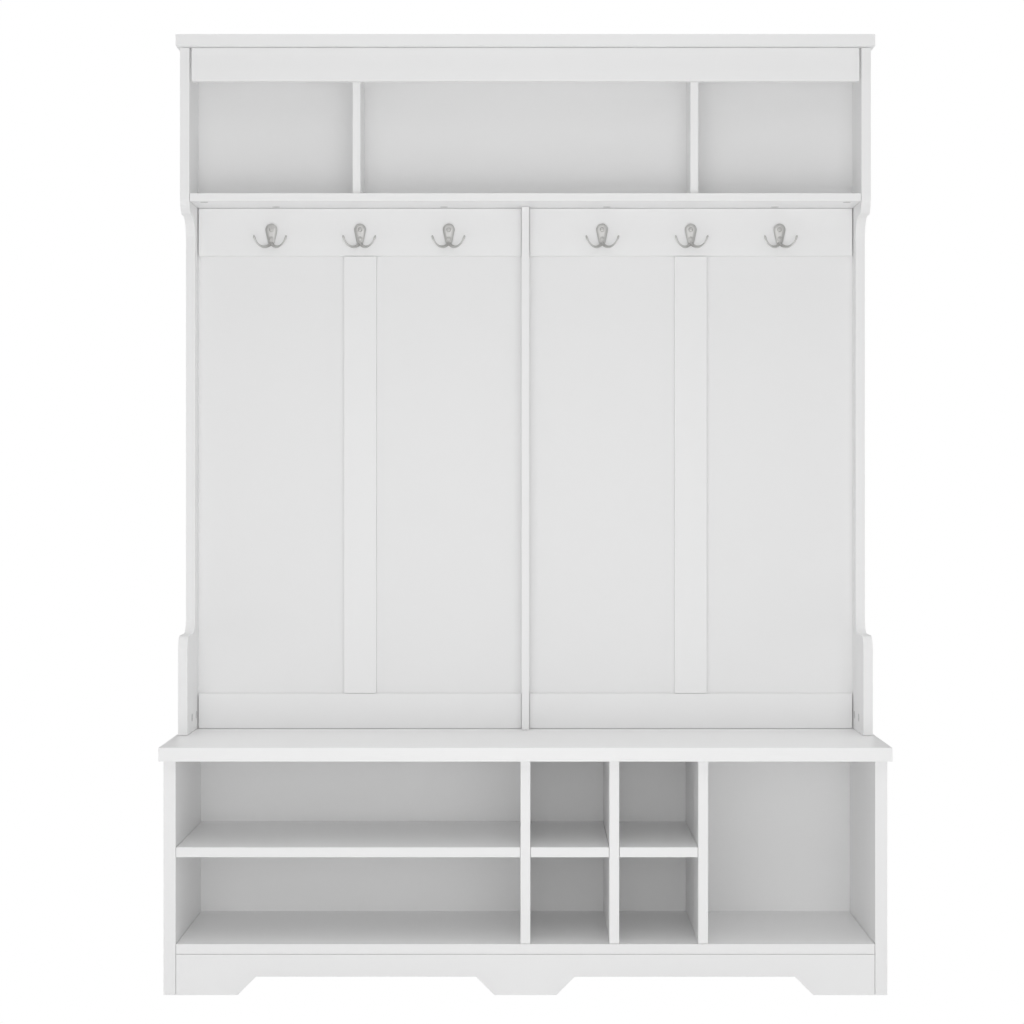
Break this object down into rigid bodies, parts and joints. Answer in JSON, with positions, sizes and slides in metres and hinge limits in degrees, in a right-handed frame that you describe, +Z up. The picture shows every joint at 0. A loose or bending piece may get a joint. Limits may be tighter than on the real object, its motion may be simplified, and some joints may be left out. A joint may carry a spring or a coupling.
{
  "type": "hall tree with hooks",
  "caption": "White hall tree: shoe bench with shelves and cubbies, panelled back with double coat hooks, and an open divided box under a crown.",
  "frame": {"origin": "on the floor, in the middle of the footprint's bounding box", "axes": "+Z up, -Y towards the person who sits on the bench, +Y towards the wall, +X to the right seen from the front"},
  "size_m": [1.3, 0.4, 1.745],
  "materials": {
    "white_board": "satin white coating on fibreboard",
    "white_back": "smooth matt white hardboard",
    "satin_nickel": "satin nickel plating",
    "zinc": "bare die-cast zinc"
  },
  "bodies": {
    "root": {"bench_top": "white_board", "base_side_left": "white_board", "base_side_right": "white_board", "base_bottom_panel": "white_board", "base_divider_1": "white_board", "base_divider_2": "white_board", "base_divider_3": "white_board", "shoe_shelf_long": "white_board", "cubby_shelf_1": "white_board", "cubby_shelf_2": "white_board", "kick_board_front": "white_board", "kick_board_rear": "white_board", "hutch_side_left": "white_board", "hutch_side_right": "white_board", "centre_upright": "white_board", "hook_rail_left": "white_board", "hook_rail_right": "white_board", "lower_rail_left": "white_board", "lower_rail_right": "white_board", "batten_left": "white_board", "batten_right": "white_board", "top_shelf": "white_board", "box_divider_left": "white_board", "box_divider_right": "white_board", "valance": "white_board", "crown": "white_board", "base_back_panel": "white_back", "back_panel_left": "white_back", "back_panel_right": "white_back", "box_back_panel": "white_back", "hook_1": "satin_nickel", "hook_2": "satin_nickel", "hook_3": "satin_nickel", "hook_4": "satin_nickel", "hook_5": "satin_nickel", "hook_6": "satin_nickel", "hook_1_screw_upper": "satin_nickel", "hook_1_screw_lower": "satin_nickel", "hook_2_screw_upper": "satin_nickel", "hook_2_screw_lower": "satin_nickel", "hook_3_screw_upper": "satin_nickel", "hook_3_screw_lower": "satin_nickel", "hook_4_screw_upper": "satin_nickel", "hook_4_screw_lower": "satin_nickel", "hook_5_screw_upper": "satin_nickel", "hook_5_screw_lower": "satin_nickel", "hook_6_screw_upper": "satin_nickel", "hook_6_screw_lower": "satin_nickel", "shelf_cam_1": "zinc", "shelf_cam_2": "zinc", "shelf_cam_3": "zinc", "shelf_cam_4": "zinc", "shelf_cam_5": "zinc", "shelf_cam_6": "zinc", "arm_cam_left_front": "zinc", "arm_cam_left_rear": "zinc", "arm_cam_right_front": "zinc", "arm_cam_right_rear": "zinc"}
  },
  "joints": []
}
